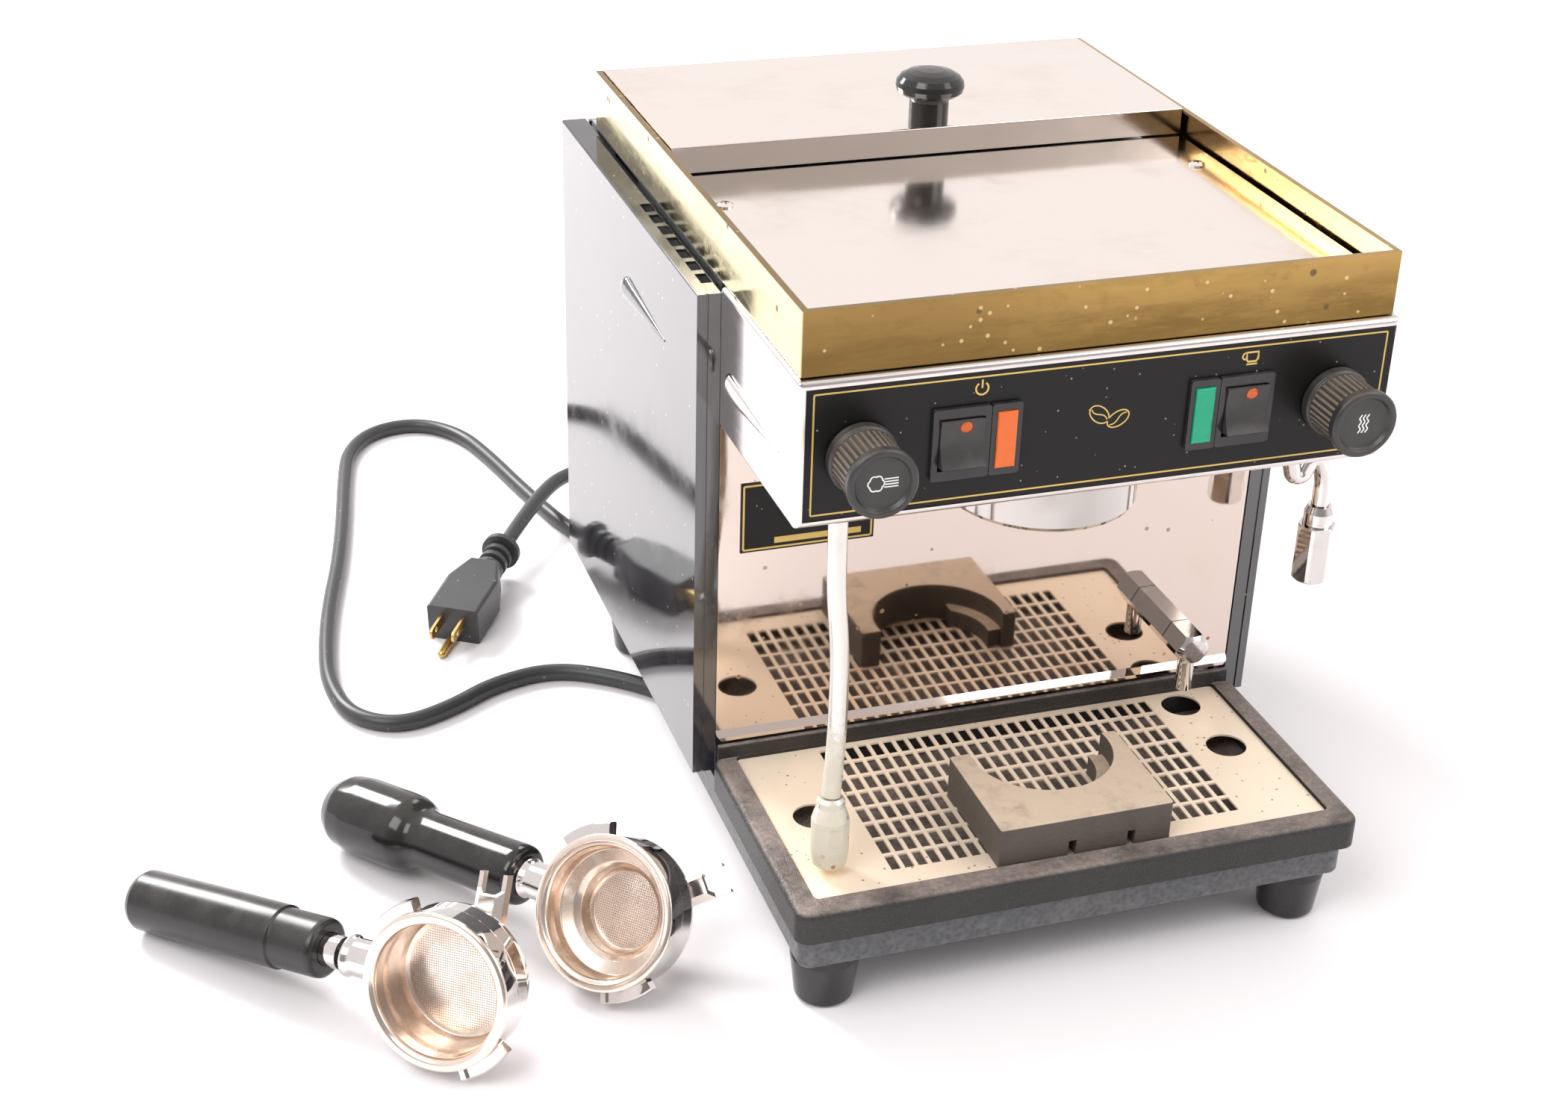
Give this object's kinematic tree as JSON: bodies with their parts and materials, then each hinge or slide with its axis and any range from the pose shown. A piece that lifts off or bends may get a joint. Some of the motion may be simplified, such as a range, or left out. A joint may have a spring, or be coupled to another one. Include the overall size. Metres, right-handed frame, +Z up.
{
  "type": "espresso coffee brewer",
  "caption": "Counter-top espresso brewer with a control head, swivelling steam and hot-water wands, sliding drip tray, lift-out tank, loose portafilters and a mains lead.",
  "frame": {"origin": "on the table at the centre of the body's footprint, under the boiler", "axes": "+X to the right of someone facing the control panel, +Y to the back, +Z up"},
  "size_m": [0.5682, 0.6544, 0.3524],
  "materials": {
    "hammered_paint": "hammered dark grey",
    "black_gloss_paint": "gloss black",
    "polished_steel": "polished",
    "brushed_steel": "brushed",
    "chrome": "bright",
    "brass": "speckled, tarnished",
    "copper": "bare copper tone",
    "black_plastic": "matt",
    "gloss_black": "gloss",
    "black_rubber": "matt",
    "panel_overlay": "printed black overlay",
    "orange_lens": "translucent",
    "green_lens": "translucent",
    "seal": "sealing compound",
    "tank_plastic": "translucent",
    "controller": "moulded",
    "galvanised": "galvanised",
    "tray_plastic": "leather-grain moulded",
    "cord_jacket": "satin pvc"
  },
  "bodies": {
    "machine": {"base_pan": "hammered_paint", "rubber_feet": "black_rubber", "chassis_frame": "galvanised", "right_side_panel": "black_gloss_paint", "left_side_panel": "black_gloss_paint", "splash_panel": "polished_steel", "back_panel": "black_gloss_paint", "head_shell": "polished_steel", "control_fascia": "panel_overlay", "rating_plate": "panel_overlay", "switch_housings": "gloss_black", "lamp_housings": "gloss_black", "power_lamp_lens": "orange_lens", "brew_lamp_lens": "green_lens", "tap_valve_bodies": "brass", "wand_ball_nuts": "chrome", "group_head": "chrome", "group_gasket": "black_rubber", "shower_screen": "polished_steel", "boiler_shell": "copper", "heating_element": "brushed_steel", "safety_valve": "brass", "pressurestat": "controller", "brew_solenoid": "brass", "pump": "controller", "boiler_pipes": "copper", "control_box": "controller", "drain_fitting": "chrome", "gallery_rail": "brass", "cup_tray": "brushed_steel", "cup_tray_screws": "brushed_steel", "cord_gland": "black_rubber", "power_cord": "cord_jacket", "power_plug": "cord_jacket"},
    "power_switch": {"power_rocker": "black_plastic"},
    "brew_switch": {"brew_rocker": "black_plastic"},
    "steam_tap": {"steam_knob": "black_plastic"},
    "steam_valve_spindle": {"steam_spindle": "brass"},
    "water_tap": {"water_knob": "black_plastic"},
    "water_valve_spindle": {"water_spindle": "brass"},
    "steam_swivel": {"steam_ball_seat": "seal"},
    "steam_wand": {"steam_wand_tube": "brushed_steel", "steam_wand_tip": "brushed_steel"},
    "water_swivel": {"water_ball_seat": "seal"},
    "water_wand": {"water_wand_tube": "chrome", "water_wand_tip": "chrome"},
    "tray": {"drip_tray": "tray_plastic", "drip_grid": "brushed_steel"},
    "stand": {"tamp_stand": "black_plastic"},
    "tank": {"water_tank": "tank_plastic"},
    "lid": {"water_lid": "brushed_steel", "lid_knob": "black_plastic"},
    "double_portafilter": {"double_filter_body": "chrome", "double_filter_handle": "black_plastic", "double_filter_spout": "brushed_steel"},
    "double_basket": {"double_filter_basket": "brushed_steel"},
    "single_portafilter": {"single_filter_body": "chrome", "single_filter_handle": "gloss_black", "single_filter_spout": "brushed_steel"},
    "single_basket": {"single_filter_basket": "brushed_steel"}
  },
  "joints": [
    {"name": "power_switch_rock", "type": "hinge", "parent": "machine", "child": "power_switch", "pos_m": [-0.0645, -0.1585, 0.263], "axis": [1, 0, 0], "range_deg": [0, 18]},
    {"name": "brew_switch_rock", "type": "hinge", "parent": "machine", "child": "brew_switch", "pos_m": [0.0645, -0.1585, 0.263], "axis": [1, 0, 0], "range_deg": [0, 18]},
    {"name": "steam_tap_turn", "type": "hinge", "parent": "machine", "child": "steam_tap", "pos_m": [-0.1075, -0.16, 0.2623], "axis": [0, -1, 0], "range_deg": [0, 540]},
    {"name": "steam_spindle_rise", "type": "slide", "parent": "steam_tap", "child": "steam_valve_spindle", "axis": [0, -1, 0], "range_m": [0, 0.00226]},
    {"name": "water_tap_turn", "type": "hinge", "parent": "machine", "child": "water_tap", "pos_m": [0.1075, -0.16, 0.2623], "axis": [0, -1, 0], "range_deg": [0, 540]},
    {"name": "water_spindle_rise", "type": "slide", "parent": "water_tap", "child": "water_valve_spindle", "axis": [0, -1, 0], "range_m": [0, 0.00226]},
    {"name": "steam_wand_swing", "type": "hinge", "parent": "machine", "child": "steam_swivel", "pos_m": [-0.107, -0.136, 0.241], "axis": [0, 0, 1], "range_deg": [-45, 45]},
    {"name": "steam_wand_tilt", "type": "hinge", "parent": "steam_swivel", "child": "steam_wand", "pos_m": [-0.107, -0.136, 0.241], "axis": [-1, 0, 0], "range_deg": [-7, 18]},
    {"name": "water_wand_swing", "type": "hinge", "parent": "machine", "child": "water_swivel", "pos_m": [0.121, -0.1, 0.241], "axis": [0, 0, 1], "range_deg": [-60, 30]},
    {"name": "water_wand_tilt", "type": "hinge", "parent": "water_swivel", "child": "water_wand", "pos_m": [0.121, -0.1, 0.241], "axis": [0, -1, 0], "range_deg": [-14, 12]},
    {"name": "drip_tray_slide", "type": "slide", "parent": "machine", "child": "tray", "axis": [0, -1, 0], "range_m": [0, 0.08]},
    {"name": "tamp_stand_lift", "type": "slide", "parent": "tray", "child": "stand", "axis": [0, 0, 1], "range_m": [0, 0.05]},
    {"name": "water_tank_lift", "type": "slide", "parent": "machine", "child": "tank", "axis": [0, 0, 1], "range_m": [0, 0.2]},
    {"name": "water_lid_lift", "type": "slide", "parent": "tank", "child": "lid", "axis": [0, 0, 1], "range_m": [0, 0.06]},
    {"name": "double_portafilter_lift", "type": "slide", "parent": "machine", "child": "double_portafilter", "axis": [0, 0, 1], "range_m": [0, 0.15]},
    {"name": "double_basket_pull", "type": "slide", "parent": "double_portafilter", "child": "double_basket", "axis": [-0.6402, -0.7111, 0.2907], "range_m": [0, 0.03]},
    {"name": "single_portafilter_lift", "type": "slide", "parent": "machine", "child": "single_portafilter", "axis": [0, 0, 1], "range_m": [0, 0.15]},
    {"name": "single_basket_pull", "type": "slide", "parent": "single_portafilter", "child": "single_basket", "axis": [-0.6601, -0.5738, 0.4848], "range_m": [0, 0.015]}
  ],
  "couplings": [
    {"joint": "steam_spindle_rise", "follows": "steam_tap_turn", "m_per_rad": 0.00023873},
    {"joint": "water_spindle_rise", "follows": "water_tap_turn", "m_per_rad": 0.00023873}
  ]
}
